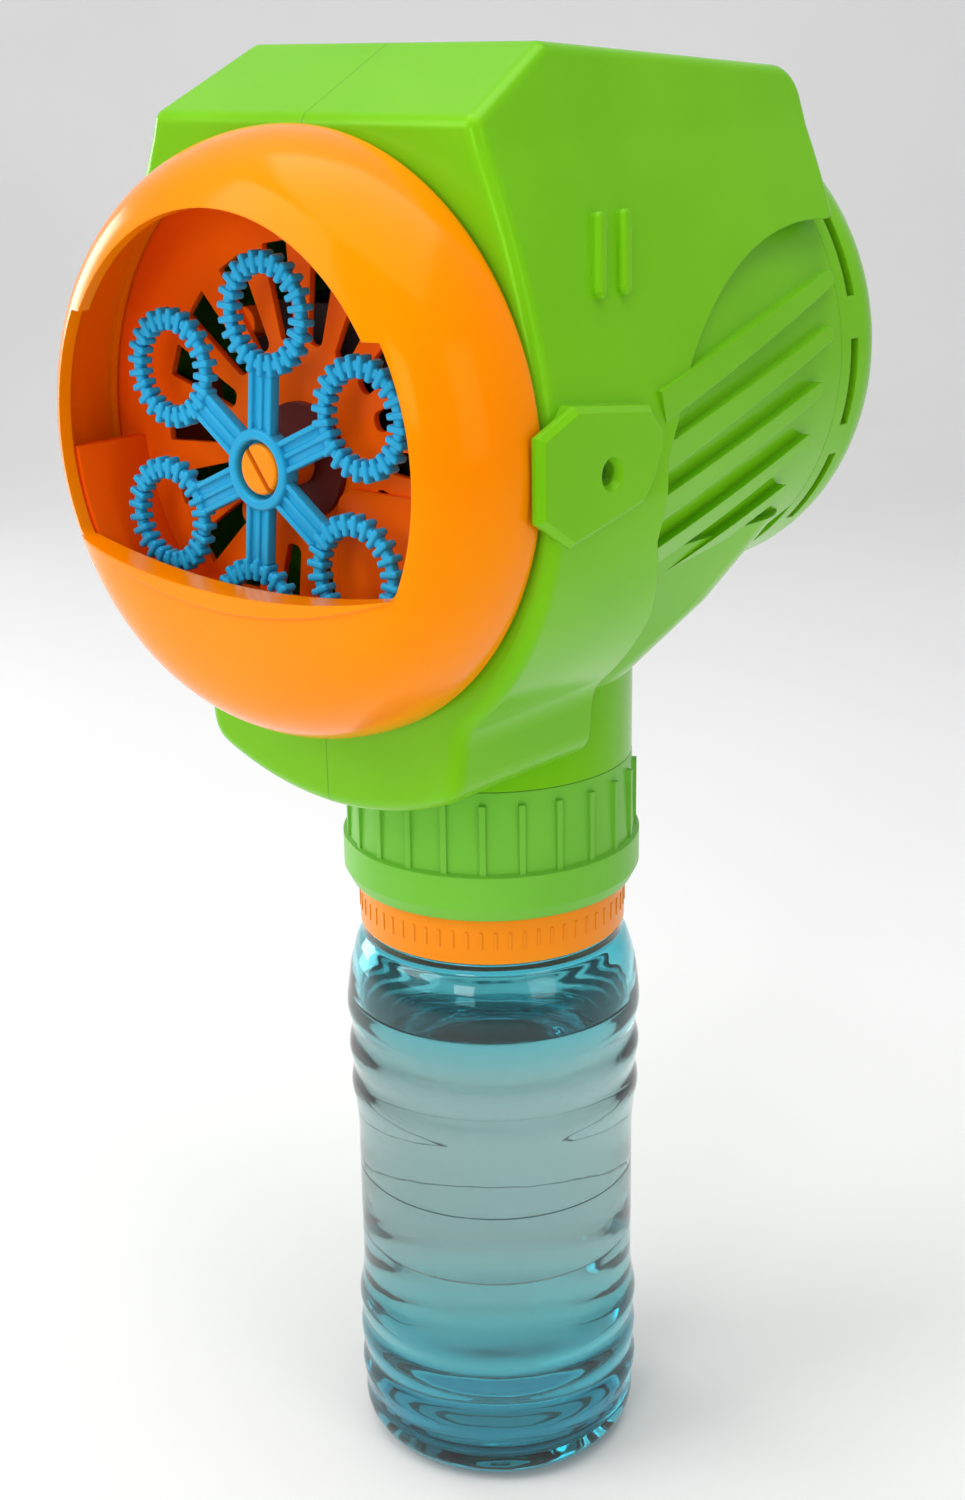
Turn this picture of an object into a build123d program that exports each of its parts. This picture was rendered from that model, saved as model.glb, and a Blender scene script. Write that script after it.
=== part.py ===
from build123d import *
import math
import os

# Hand-held battery bubble machine: a round-nosed blower head on a bottle of bubble solution.
# Millimetres. +Z is up the bottle, -Y is the way the bubbles leave, X = 0 is the casing's parting plane.
# The origin is the middle of the bottle's base. "Depth" is a distance in front of the bottle's axis, so y = -depth.

# --- driving dimensions -------------------------------------------------------------------
WALL = 2.2               # moulded wall of the casing
SLIP = 0.3               # gap between pieces that move past each other
SEAM = 0.03              # half of the joint line between the casing halves

BOTTLE_R = 28.0          # bottle at its widest rib
LABEL_R = 26.6           # bottle at the label band
BOTTLE_BORE_R = 25.6
FOOT_R = 22.5            # outside of the ring that the bottle stands on
SHOULDER_Z = 96.0
NECK_BEAD_R = 24.4
NECK_R = 20.0
NECK_BORE_R = 18.8
NECK_Z = 108.8           # foot and mouth of the bottle's neck
MOUTH_Z = 125.8
LIQUID_Z = 94.0
LOWER_RIBS = (13.5, 21.0, 28.5)
UPPER_RIBS = (75.5, 83.5, 91.5)
LABEL_Z = (36.0, 66.0)

ADAPTER_R = 24.8         # screw adapter on the bottle's neck
ADAPTER_Z = (109.2, 128.0)
SPOUT_R = 3.0            # feed snout of the neck plate

COLLAR_Z = (118.3, 142.2)
FLANGE_TOP_Z = 126.9
COLLAR_R = 26.0
FLANGE_R = 27.5
COLLAR_BORE_R = 25.2
COLLAR_LIP_R = 23.2
COLLAR_RIBS = 24

HEAD_NECK_R = 26.0       # round neck of the casing
SPIGOT_R = 22.8          # its lower end, inside the collar
SPIGOT_Z = 130.2

FACE_Y = -42.0           # flat front face of the casing
REAR_Y = 45.0            # flat rear face
BACK_Y = 62.5            # back of the rear cover and battery door
ROOF_Z = (265.0, 260.0)  # roof at its front and rear edges
DOME_Z = 205.3           # height of the nose's axis
DRUM_Z = 211.0           # height of the motor's axis and of the rear drum
DRUM_R = 44.0            # rear drum where the rear cover meets it
DRUM_FRONT_R = 47.0      # the drum widens towards the front
WHEEL_Z = 202.0          # height of the wand wheel's axis
BELLY_Z = 142.5

GRILLE_SLOTS = 18        # air slots behind the wheel, and the height they spread from
GRILLE_Z = 204.0

FIN_FRONT = 5.2          # fins in the scooped sides: widths at their two ends, height, then start and end as y and z
FIN_REAR = 2.6
FIN_HEIGHT = 1.8
FIN_LINES = (
    ((-14, 211), (41, 225.4)),
    ((-16, 201.4), (38.5, 216.4)),
    ((-16, 191.6), (35, 207.1)),
    ((-12, 181), (34, 198.1)),
    ((-4, 173), (32, 189.2)),
)

NOSE_R = 48.4            # round nose where it meets the casing
NOSE_WALL = 2.2
NOSE_TIP = 65.0          # depth of the nose's front
MOUTH_R = 39.3           # bubble outlet beside the wheel
MOUTH_UPPER_R = 37.0     # bubble outlet above its two notches
MOUTH_NOTCH = 19.8       # height of the notches above the nose's axis
LIP_Z = 184.2            # lowest point of the chin's sagging top edge
LIP_CURVE_R = 165.0
LIP_BAND = 2.9           # raised band along that edge, at its highest
LIP_STEP = 0.4

WHEEL_DEPTH = 53.6       # middle of the wand wheel
WHEEL_WIDTH = 2.6
WHEEL_TURN = -5.4        # the wheel's angle at rest
LOOPS = 6
LOOP_CIRCLE_R = 24.3
LOOP_BORE_R = 6.9
LOOP_RING_R = 8.8
LOOP_FIN_R = (6.1, 9.6)
LOOP_FINS = 24
HUB_R = 6.5
HUB_BORE_R = 4.7
HUB_BACK = -1.9          # back and front of the hub from the wheel's middle, and the front of its web
HUB_FRONT = 1.4
HUB_WEB = -1.0

MODULE = 0.5             # gears
SMALL_TEETH = 10
BIG_TEETH = 40
GEAR_CENTRES = MODULE * (SMALL_TEETH + BIG_TEETH) / 2
TOOTH_SHIFT = 0.4        # profile shift: longer teeth on the small gears, shorter on the big ones
ADDENDUM = 0.8
DEDENDUM = 1.25
BACKLASH = 0.16
PRESSURE_ANGLE = math.radians(20)
AXLE_R = 1.0
AXLE_BORE_R = 1.05

CELL_R = 7.2             # AA cells
CELL_LENGTH = 49.4
CELL_NUB = 1.1
CELL_PITCH = 14.8
CELL_Y = 50.8
BOX_HALF = (23.8, 27.8)  # battery box, across and up
BOX_Y = (42.2, 58.2)

BUTTON_Y = -14.0
BUTTON_TRAVEL = 1.5


# --- helpers ------------------------------------------------------------------------------
def axial(shape, height):
    """Lays a shape made about +Z along the forward axis at that height: its local z becomes depth."""
    return Location((0, 0, height), (90, 0, 0)) * shape


def ring(outer, inner, bottom, top):
    tube = Cylinder(outer, top - bottom) - Cylinder(inner, top - bottom + 2)
    return Pos(0, 0, (bottom + top) / 2) * tube


def rod(radius, bottom, top, x=0.0, y=0.0):
    return Pos(x, y, (bottom + top) / 2) * Cylinder(radius, top - bottom)


def block(x, y, z):
    """A box from three (low, high) pairs."""
    centre = Pos(sum(x) / 2, sum(y) / 2, sum(z) / 2)
    return centre * Box(x[1] - x[0], y[1] - y[0], z[1] - z[0])


def plate(width, height, corner, bottom, top, x=0.0, y=0.0):
    """A flat plate with round corners between two levels."""
    return Pos(x, y, bottom) * extrude(RectangleRounded(width, height, corner), top - bottom)


def spun(*edges):
    """The solid that a closed half profile in X and Z makes about Z."""
    return revolve(make_face(Plane.XZ.location * Curve(edges)), Axis.Z)


def sideways(face, half_width):
    """Extrudes a face drawn in Y and Z both ways along X."""
    return extrude(Plane.YZ * face, half_width, both=True)


def group(*shapes):
    """Several separate solids in one node."""
    return Compound(children=[solid for shape in shapes for solid in shape.solids()])


def screw(radius, length, head_r, head_height):
    """A pan-head screw about Z: the shank goes down from z = 0, and the head has a cross recess."""
    slot = head_r * 1.3
    recess = Pos(0, 0, head_height) * (Box(slot, 0.6, 1.0) + Box(0.6, slot, 1.0))
    return rod(radius, -length, 0) + rod(head_r, 0, head_height) - recess


# --- casing -------------------------------------------------------------------------------
def front_outline():
    """The head seen from the front: narrow roof, sides that flare out, a jaw that follows the nose, a round belly."""
    top = ROOF_Z[0] + 3
    half = make_face([
        Line((0, top), (30.5, top)),
        Line((30.5, top), (36.2, 250.5)),
        ThreePointArc((36.2, 250.5), (44.9, 226), (49.6, 198)),
        ThreePointArc((49.6, 198), (44.3, 178.6), (30.2, 161)),
        Line((30.2, 161), (28.6, 149.4)),
        ThreePointArc((28.6, 149.4), (14.5, 144.2), (0, BELLY_Z)),
        Line((0, BELLY_Z), (0, top)),
    ])
    outline = half + mirror(half, Plane.YZ)
    for level, radius in ((top, 5), (149.4, 6), (161, 8), (198, 8), (250.5, 10)):
        corners = [v for v in outline.vertices() if abs(v.Y - level) < 0.1 and abs(v.X) > 20]
        outline = fillet(corners, radius)
    return outline


def side_outline():
    """The head seen from the side, with the sloped brow in front and the roof falling to the rear."""
    outline = make_face(Polyline(
        (FACE_Y, BELLY_Z), (FACE_Y, 254.5), (-22, ROOF_Z[0]), (REAR_Y, ROOF_Z[1]),
        (REAR_Y, 184), (14, 158), (0, BELLY_Z), close=True,
    ))
    brow = [v for v in outline.vertices() if v.Y > 254 and v.X < 0]
    outline = fillet(brow, 2.5)
    rear_top = [v for v in outline.vertices() if v.Y > 259 and v.X > 40]
    return fillet(rear_top, 6)


def recess_outline():
    """The scooped part of each side, from the round top edge down to the neck."""
    return make_face([
        Line((70, 238), (41, 235.2)),
        ThreePointArc((41, 235.2), (15, 231), (-4.3, 217)),
        Line((-4.3, 217), (-13.4, 203)),
        Line((-13.4, 203), (-15, 190)),
        Line((-15, 190), (-9, 176)),
        Line((-9, 176), (-6, 130)),
        Line((-6, 130), (70, 130)),
        Line((70, 130), (70, 238)),
    ])


def drum(grow):
    """The tapered motor drum, widest at the front."""
    front = 18
    cone = Cone(DRUM_R + grow, DRUM_FRONT_R + grow, REAR_Y + front)
    return axial(Pos(0, 0, (front - REAR_Y) / 2) * cone, DRUM_Z)


def fairing(inset):
    """The funnel from the head down to the round neck."""
    sections = []
    for z, y, half_x, half_y, corner in ((158.5, 0, 26, 26, 25.9), (169.5, 2, 31, 33, 16), (184, 3.5, 38, 41.5, 14)):
        outline = RectangleRounded(2 * (half_x - inset), 2 * (half_y - inset), corner - inset)
        sections.append(Pos(0, y, z) * outline)
    return loft(sections, ruled=True)


def head(inset):
    """The head's outer form, or its inside when inset is the wall thickness."""
    front = front_outline()
    side = side_outline()
    scoop = recess_outline()
    if inset:
        front = offset(front, -inset)
        side = offset(side, -inset)
        scoop = offset(scoop, inset)
    length = REAR_Y - FACE_Y - 2 * inset
    body = Pos(0, REAR_Y - inset, 0) * (Rot(90, 0, 0) * extrude(front, length))
    body = body & sideways(side, 60)
    if not inset:
        body = fillet([e for e in body.edges() if is_front_edge(e)], 2.5)
    sides = sideways(scoop, 60) - sideways(scoop, 20)
    lower = fairing(inset) + rod(HEAD_NECK_R - inset, COLLAR_Z[1] + 0.1, 165)
    return (body - sides) + (body & drum(-inset)) + lower


def is_front_edge(edge):
    """The rim of the front face below the brow, and the ends of the brow's slope."""
    middle = edge.center()
    rim = abs(middle.Y - FACE_Y) < 0.01 and abs(middle.Z - 254) > 1.5
    slope_end = middle.Y < -22 and abs(middle.X) > 25 and middle.Z > 255
    return rim or slope_end


def fin_outline(run):
    """A fin seen from the side: wide at the front, narrow and round at the rear."""
    front = FIN_FRONT / 2
    rear = FIN_REAR / 2
    wedge = make_face(Polyline((-run / 2, -front), (run / 2, -rear), (run / 2, rear), (-run / 2, front), close=True))
    return wedge + Pos(run / 2, 0) * Circle(rear)


def side_fins():
    """Raised fins that run up and back across each scoop."""
    bars = []
    for (y0, z0), (y1, z1) in FIN_LINES:
        run = math.hypot(y1 - y0, z1 - z0)
        rise = math.degrees(math.atan2(z1 - z0, y1 - y0))
        bar = Plane.YZ * extrude(fin_outline(run), 60, both=True)
        bars.append(Pos(0, (y0 + y1) / 2, (z0 + z1) / 2) * (Rot(rise, 0, 0) * bar))
    fins = bars[0] + bars[1:]
    return (fins & drum(FIN_HEIGHT)) - rod(20, 100, 300)


def side_ribs():
    """Two short round-backed ribs on each side, near the front, leaning with the front edge."""
    ribs = []
    for y in (-23.0, -16.8):
        rib = fillet(extrude(SlotOverall(13.8, 2.6), 4).faces().sort_by(Axis.Z)[-1].edges(), 0.9)
        stood = Rot(0, -17.5, 0) * (Rot(-21, 0, 0) * (Rot(0, 90, 0) * (Pos(0, 0, -2.6) * rib)))
        rib = Pos(42.4, y, 234.3) * stood
        ribs.extend([rib, mirror(rib, Plane.YZ)])
    return ribs


def boss_outline(front, inset):
    """The plate round a side screw, seen from the side."""
    outline = make_face(Polyline(
        (front, 211), (-38, 214.5), (-19.5, 212.3), (-16.2, 208.6), (-16.1, 205.5),
        (-18.5, 200.5), (-21.2, 197.4), (-30.7, 195.3), (-38.9, 193.5), (front, 198.5), close=True,
    ))
    return offset(outline, -inset, kind=Kind.INTERSECTION) if inset else outline


SIDE_SCREW = (-29.8, 203.4)      # y and z of the screw in each side
SCREW_SEAT_X = 46.6
SCREW_HOLE_R = 1.9
BOSS_X = 50.8


def boss_plates():
    """The raised, chamfered plate round the screw in each side; its front edge laps past the nose's rim."""
    edge = BOSS_X - 1.0
    plates = []
    for side in (-1, 1):
        wide = Plane.YZ.offset(edge) * boss_outline(-46.6, 0)
        narrow = Plane.YZ.offset(BOSS_X) * boss_outline(-46.6, 1.0)
        solid = loft([wide, narrow])
        solid = solid + extrude(Plane.YZ.offset(48.9) * boss_outline(-46.6, 0), edge - 48.9)
        solid = solid + extrude(Plane.YZ.offset(46) * boss_outline(FACE_Y, 0), edge - 46)
        plates.append(solid if side > 0 else mirror(solid, Plane.YZ))
    return plates


def cover_boss_places():
    """Where the rear cover's screws stand, as x and height."""
    reach = 39.0
    angles = [math.radians(a) for a in (60, 120, 240, 300)]
    return [(reach * math.cos(a), DRUM_Z + reach * math.sin(a)) for a in angles]


def along_y(radius, y0, y1, x, z):
    """A rod along Y."""
    return Pos(x, (y0 + y1) / 2, z) * (Rot(90, 0, 0) * Cylinder(radius, y1 - y0))


def along_x(radius, x0, x1, y, z):
    """A rod along X."""
    return Pos((x0 + x1) / 2, y, z) * (Rot(0, 90, 0) * Cylinder(radius, x1 - x0))


LEG_ANGLES = (90, 210, 330)      # where the nose's snap legs go through the casing's face
LEG_R = (43.6, 45.8)


def round_nose(shape):
    """One copy of a shape on +X for each snap leg."""
    return [axial(Rot(0, 0, angle) * shape, DOME_Z) for angle in LEG_ANGLES]


def legs(grow):
    """The nose's snap legs, or the slots for them when grow is positive."""
    return round_nose(block((LEG_R[0] - grow, LEG_R[1] + grow), (-4 - grow, 4 + grow), (35.0, 44.5)))


def arm_block(side, grow):
    """The arm of the chamber back that a side screw goes into, or the slot for it."""
    x = (41.0 - grow, 45.4 + grow)
    x = x if side > 0 else (-x[1], -x[0])
    z = (SIDE_SCREW[1] - 5 - grow, SIDE_SCREW[1] + 5 + grow)
    return block(x, (-42.5, -24.0), z)


def casing():
    """Both halves as one hollow moulding, before it is parted."""
    shell = head(0) + side_fins() + side_ribs() + boss_plates()
    shell = shell + rod(SPIGOT_R, SPIGOT_Z, COLLAR_Z[1] + 1) + rod(24.6, 134.4, 136.4)
    shell = shell - head(WALL) + ring(HEAD_NECK_R - 1, SPIGOT_R - WALL, COLLAR_Z[1] + 0.1, 145)
    shell = shell - rod(SPIGOT_R - WALL, SPIGOT_Z - 1, 146)
    shell = shell - axial(rod(38.0, 30, 50), DOME_Z) - axial(rod(DRUM_R - 4, -50, -35), DRUM_Z)
    shell = shell - legs(0.2)
    for x, z in cover_boss_places():
        boss = along_y(3.3, 30, REAR_Y, x, z)
        shell = shell + (boss & head(1)) - along_y(1.1, 31, REAR_Y + 1, x, z)
    for side in (-1, 1):
        shell = shell - arm_block(side, 0.2)
        pad = along_x(4.2, 45.7, 49, *SIDE_SCREW)
        entry = Pos(BOSS_X - 0.6, *SIDE_SCREW) * (Rot(0, 90, 0) * Cone(SCREW_HOLE_R, 2.7, 1.3))
        hole = along_x(SCREW_HOLE_R, SCREW_SEAT_X, 60, *SIDE_SCREW) + along_x(1.3, 40, 50, *SIDE_SCREW) + entry
        if side < 0:
            pad = mirror(pad, Plane.YZ)
            hole = mirror(hole, Plane.YZ)
        shell = shell + pad - hole
    button_hole = plate(13.4, 12.4, 2.0, 255, 275, 0, BUTTON_Y)
    return shell - button_hole


def casing_half(side):
    room = (SEAM, 100) if side > 0 else (-100, -SEAM)
    half = casing() & block(room, (-100, 100), (100, 300))
    return max(half.solids(), key=lambda solid: solid.volume)


# --- rear cover and battery compartment -----------------------------------------------------
def cover_form(inset):
    """The domed rear cover's outer form, or its inside."""
    outer = DRUM_R - inset
    back = BACK_Y - inset
    drop = back - 11
    return axial(Rot(180, 0, 0) * spun(
        Line((0, REAR_Y), (outer, REAR_Y)),
        Line((outer, REAR_Y), (outer, drop)),
        ThreePointArc((outer, drop), (outer - 2.3, back - 3.6), (outer - 9, back)),
        Line((outer - 9, back), (0, back)),
        Line((0, back), (0, REAR_Y)),
    ), DRUM_Z)


def door_outline(gap):
    """The battery door with the round ear for its screw."""
    lid = RectangleRounded(2 * (BOX_HALF[0] - gap), 2 * (BOX_HALF[1] - gap), 4.5 - gap)
    return lid + Pos(0, BOX_HALF[1] + 2.4) * Circle(5.4 - gap)


DOOR_SCREW_Z = DRUM_Z + BOX_HALF[1] + 3.4
DOOR_SCREW_R = 1.25


def door_prism(gap):
    return axial(Pos(0, 0, -80) * extrude(door_outline(gap), 40), DRUM_Z)


def rear_cover():
    shell = cover_form(0) - cover_form(WALL) - axial(rod(DRUM_R - WALL, -46, -40), DRUM_Z)
    for x, z in cover_boss_places():
        boss = along_y(3.6, REAR_Y, 62, x, z) & cover_form(0)
        shell = shell + boss - along_y(1.6, 40, 70, x, z) - along_y(2.9, 50, 70, x, z)
    post = along_y(3.2, 50, BACK_Y - WALL - SLIP, 0, DOOR_SCREW_Z)
    post = post + block((-1.2, 1.2), (48, 57), (DOOR_SCREW_Z, 253.6))
    shell = shell - door_prism(0) + post - along_y(DOOR_SCREW_R + 0.05, 40, 70, 0, DOOR_SCREW_Z)
    for side in (-1, 1):
        for middle in (24, -6, -34):
            shell = shell - air_slot(middle if side > 0 else 180 - middle)
    return shell


def air_slot(middle):
    """One arc-shaped air slot in the cover's rim, 20 degrees long."""
    band = ring(60, DRUM_R - 6, -50.6, -48.2)
    wedge = Rot(0, 0, middle) * (Pos(45, 0, -49.4) * Box(30, 15.5, 6))
    return axial(band & wedge, DRUM_Z)


def battery_door():
    lid = door_prism(SLIP) & block((-50, 50), (BACK_Y - WALL, BACK_Y), (150, 270))
    grip = [block((-9, 9), (BACK_Y - 1, BACK_Y + 0.8), (z, z + 1.4)) for z in (188.5, 191.5, 194.5)]
    hole = along_y(DOOR_SCREW_R + 0.05, 50, 70, 0, DOOR_SCREW_Z)
    return lid + grip - hole - along_y(2.8, BACK_Y - 1.2, 70, 0, DOOR_SCREW_Z)


def door_screw():
    return Location((0, BACK_Y - 1.2, DOOR_SCREW_Z), (-90, 0, 0)) * screw(DOOR_SCREW_R, 8.5, 2.5, 1.4)


def battery_box():
    wide = 2 * BOX_HALF[0] - 0.8
    tall = 2 * BOX_HALF[1] - 0.8
    outer = axial(plate(wide, tall, 4.0, -BOX_Y[1], -BOX_Y[0]), DRUM_Z)
    inner = axial(plate(wide - 2.4, tall - 2.4, 2.5, -BOX_Y[1] - 1, -BOX_Y[0] - 1.2), DRUM_Z)
    box = outer - inner
    for x in (-CELL_PITCH / 2, CELL_PITCH / 2):
        box = box + block((x - 0.15, x + 0.15), (BOX_Y[0] + 1, 50), (DRUM_Z - 20, DRUM_Z + 20))
    return box


def cell(number):
    """One AA cell standing on end; neighbours point opposite ways."""
    can = rod(CELL_R, -CELL_LENGTH / 2, CELL_LENGTH / 2)
    can = fillet(can.edges(), 0.6) + rod(2.7, CELL_LENGTH / 2, CELL_LENGTH / 2 + CELL_NUB)
    flip = Rot(180, 0, 0) if number % 2 else Rot(0, 0, 0)
    return Pos((number - 1) * CELL_PITCH, CELL_Y, DRUM_Z) * (flip * can)


def contacts():
    """Flat contact plates at both ends of the battery box, between the cells and its walls."""
    plates = []
    for end in (-1, 1):
        wall = DRUM_Z + end * (BOX_HALF[1] - 1.6)
        z = sorted((wall, wall - end * 0.4))
        for number in range(3):
            x = (number - 1) * CELL_PITCH
            plates.append(block((x - 4.5, x + 4.5), (CELL_Y - 5, CELL_Y + 5), z))
    return group(*plates)


# --- switch -------------------------------------------------------------------------------
def power_button():
    cap = plate(12.6, 11.6, 1.8, 260.2, 264.9, 0, BUTTON_Y)
    cap = fillet(cap.faces().sort_by(Axis.Z)[-1].edges(), 0.8)
    return cap + plate(15.0, 14.0, 1.5, 260.2, 261.2, 0, BUTTON_Y)


def switch_body():
    body = plate(9.0, 9.0, 0.8, 252.0, 257.4, 0, BUTTON_Y)
    return body - rod(1.85, 254.5, 258, 0, BUTTON_Y)


def switch_plunger():
    return rod(1.75, 256.4, 260.2, 0, BUTTON_Y)


def switch_bracket():
    """A cradle that hangs the switch from the roof."""
    floor = block((-9.8, 9.8), (-20, -8), (250.5, 252))
    walls = [block((x, x + 1.4), (-20, -8), (250.5, 261.6)) for x in (-9.8, 8.4)]
    return floor + walls


# --- nose and bubble chamber ----------------------------------------------------------------
def nose_form(inset):
    """The round nose's outer form, or its inside: a rim that rolls under, full cheeks and a nearly flat front."""
    base = NOSE_R - inset
    face = -FACE_Y
    tip = NOSE_TIP - inset
    cheek = [
        (base, face + 2.6), (47.9 - inset, face + 7.5), (45.6 - 0.9 * inset, face + 13.6 - 0.4 * inset),
        (41.8 - 0.7 * inset, face + 18.3 - 0.7 * inset), (36.0 - 0.45 * inset, face + 20.9 - 0.9 * inset),
        (20, tip - 0.65), (0, tip),
    ]
    return axial(spun(
        Line((0, face), (base - 2.2, face)),
        ThreePointArc((base - 2.2, face), (base - 0.6, face + 0.8), cheek[0]),
        Spline(*cheek, tangents=[(0, 1), (-1, 0)]),
        Line(cheek[-1], (0, face)),
    ), DOME_Z)


def above_chin(drop, reach):
    """The region above the chin's sagging edge, or above that edge moved down by drop."""
    low = LIP_Z - DOME_Z - drop
    rise = LIP_CURVE_R - math.sqrt(LIP_CURVE_R ** 2 - reach ** 2) + drop
    ends = [(-reach, low + rise), (reach, low + rise)]
    return make_face([
        ThreePointArc(ends[0], (0, low), ends[1]),
        Line(ends[1], (reach, 60)),
        Line((reach, 60), (-reach, 60)),
        Line((-reach, 60), ends[0]),
    ])


def mouth():
    """The bubble outlet: round beside and above the wheel, with a notch each side and a sagging chin."""
    notches = Pos(0, MOUTH_NOTCH + 50) * Rectangle(100, 100)
    outline = (Circle(MOUTH_R) - notches) + (Circle(MOUTH_UPPER_R) & notches)
    outline = outline & above_chin(0, 45)
    chin = [v for v in outline.vertices() if v.Y < -10]
    outline = fillet(chin, 3.0)
    return axial(Pos(0, 0, 52) * extrude(outline, 20), DOME_Z)


def lip(drop, reach):
    """A band along the chin's edge, drop high in the middle and running out to nothing at the sides."""
    band = above_chin(drop, reach) - above_chin(0, 60)
    return axial(Pos(0, 0, 52) * extrude(band, 20), DOME_Z)


def front_bezel():
    shell = nose_form(0) - nose_form(NOSE_WALL) - axial(rod(46.2, 40, 44.4), DOME_Z)
    shell = shell + (lip(LIP_BAND, 35.5) & (nose_form(-LIP_STEP) - nose_form(NOSE_WALL - 0.1)))
    shelf = lip(1.8, 38) & nose_form(1.0) & block((-38, 38), (-62.5, -59.0), (170, 200))
    ledge = axial(ring(46.6, 45.2, 44.4, 45.4), DOME_Z)
    roots = round_nose(block((LEG_R[0], 46.8), (-4, 4), (44.4, 46.0)))
    barbs = round_nose(block((LEG_R[1] - 0.1, LEG_R[1] + 1.0), (-4, 4), (37.4, 39.5)))
    return shell - mouth() + shelf + ledge + roots + legs(0) + barbs


def grille_slots():
    """Radial air slots round the spindle, wider at their outer ends."""
    wedge = make_face(Polyline((16.6, -1.5), (32.2, -2.8), (32.2, 2.8), (16.6, 1.5), close=True))
    wedge = fillet([v for v in wedge.vertices() if v.X < 20], 1.3)
    wedge = fillet([v for v in wedge.vertices() if v.X > 31], 0.4)
    slot = extrude(wedge, 60)
    return [Rot(0, 0, 19 + 360 / GRILLE_SLOTS * number) * slot for number in range(GRILLE_SLOTS)]


def chamber_back():
    """The wall behind the wheel, with the air grille, four posts for the gearbox and two screw arms."""
    disc = axial(rod(46.0, 42.0, 44.2), DOME_Z) - axial(ring(34.0, 8.0, 41, 43.0), GRILLE_Z)
    disc = disc - [axial(slot, GRILLE_Z) for slot in grille_slots()] - legs(0.2)
    posts = [along_y(2.6, -43.1, -38.2, x, z) for x, z in gearbox_corners()]
    arms = [arm_block(side, 0) & axial(rod(46.0, 20, 44), DOME_Z) for side in (-1, 1)]
    body = disc + posts + arms
    body = body - along_x(1.2, -60, 60, *SIDE_SCREW)
    body = body - axial(rod(4.5, 30, 50), WHEEL_Z) - along_y(1.8, -50, -30, 0, FEED_Z)
    return body


FEED_Z = 169.6           # height of the feed tube where it enters the chamber


def bubble_tray():
    """The dish that the wheel dips into: a trough round the lower half of the chamber, with a raised rear panel."""
    outer = 40.4
    inner = 38.9
    trough = ring(outer, inner, 44.2, 58.8) & block((-50, 50), (-60, -3.3), (40, 60))
    front = rod(outer, 57.6, 58.8) & block((-50, 50), (-60, LIP_Z - 2.2 - DOME_Z), (50, 60))
    rear = rod(outer, 44.2, 45.4) & block((-50, 50), (-60, -26), (40, 60))
    panel = block((8, 30), (-30, -6.5), (44.2, 45.4))
    panel = fillet([e for e in panel.edges().filter_by(Axis.Z) if e.center().Y > -10], 4.0)
    spout = ring(1.6, 0.9, 34.5, 44.3)
    spout = Pos(0, FEED_Z - DOME_Z, 0) * spout
    body = trough + front + rear + (panel & rod(outer, 40, 50)) + spout
    body = body - Pos(0, FEED_Z - DOME_Z, 0) * rod(0.9, 40, 50)
    return axial(body, DOME_Z)


# --- wand wheel ---------------------------------------------------------------------------
def loop_centres():
    angles = [90 + WHEEL_TURN + 60 * number for number in range(LOOPS)]
    return [(angle, LOOP_CIRCLE_R * math.cos(math.radians(angle)), LOOP_CIRCLE_R * math.sin(math.radians(angle)))
            for angle in angles]


def wand_loop():
    """One bubble loop about Z: a ring with fins that hold the film of solution."""
    inner, outer = LOOP_FIN_R
    fin = Pos((inner + outer) / 2, 0, 0) * Box(outer - inner, 1.1, WHEEL_WIDTH)
    fins = [Rot(0, 0, 360 / LOOP_FINS * number) * fin for number in range(LOOP_FINS)]
    return ring(LOOP_RING_R, LOOP_BORE_R, -0.9, 0.9) + fins


def spoke():
    """One spoke along +X, an H section with a ridge down its middle."""
    start = HUB_R - 0.8
    end = LOOP_CIRCLE_R - LOOP_BORE_R - 0.6
    middle = Pos((start + end) / 2, 0, 0)
    web = Box(end - start, 4.6, 0.9)
    rails = Pos(0, 2.1, 0) * Box(end - start, 0.95, 2.0) + Pos(0, -2.1, 0) * Box(end - start, 0.95, 2.0)
    return middle * (web + rails + Box(end - start, 0.8, 1.6))


def wand_wheel():
    """The six loops on their spokes, with a hub that has a thin web at its back for the spindle to hold."""
    body = ring(HUB_R, HUB_BORE_R, HUB_BACK, HUB_FRONT) + rod(HUB_BORE_R + 0.5, HUB_BACK, HUB_WEB)
    loop = wand_loop()
    for angle, x, y in loop_centres():
        body = body + [Pos(x, y, 0) * (Rot(0, 0, angle) * loop), Rot(0, 0, angle) * spoke()]
    body = body - rod(2.93, -5, 0)
    return axial(Pos(0, 0, WHEEL_DEPTH) * body, WHEEL_Z)


def wheel_spindle():
    """The split pin that the wheel snaps on, with the slow shaft of the gear train behind it."""
    web_back = WHEEL_DEPTH + HUB_BACK
    web_front = WHEEL_DEPTH + HUB_WEB
    head = fillet(rod(4.1, web_front + 0.03, WHEEL_DEPTH + 1.0).edges().sort_by(Axis.Z)[-1], 0.8)
    pin = head + rod(2.9, 50.0, web_front + 0.1) + rod(3.6, 45.6, web_back - 0.03) + rod(2.4, 33.9, 46)
    split = Rot(0, 0, 127) * (Pos(0, 0, WHEEL_DEPTH + 1) * Box(10, 0.9, 8))
    return axial(pin - split - rod(AXLE_BORE_R + 0.01, 30, 38.4), WHEEL_Z)


def spindle_bush():
    return axial(rod(9.4, 44.2, 45.4) + rod(4.4, 38.3, 44.3) - rod(2.46, 30, 50), WHEEL_Z)


# --- gear train -----------------------------------------------------------------------------
def involute(angle):
    return math.tan(angle) - angle


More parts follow.
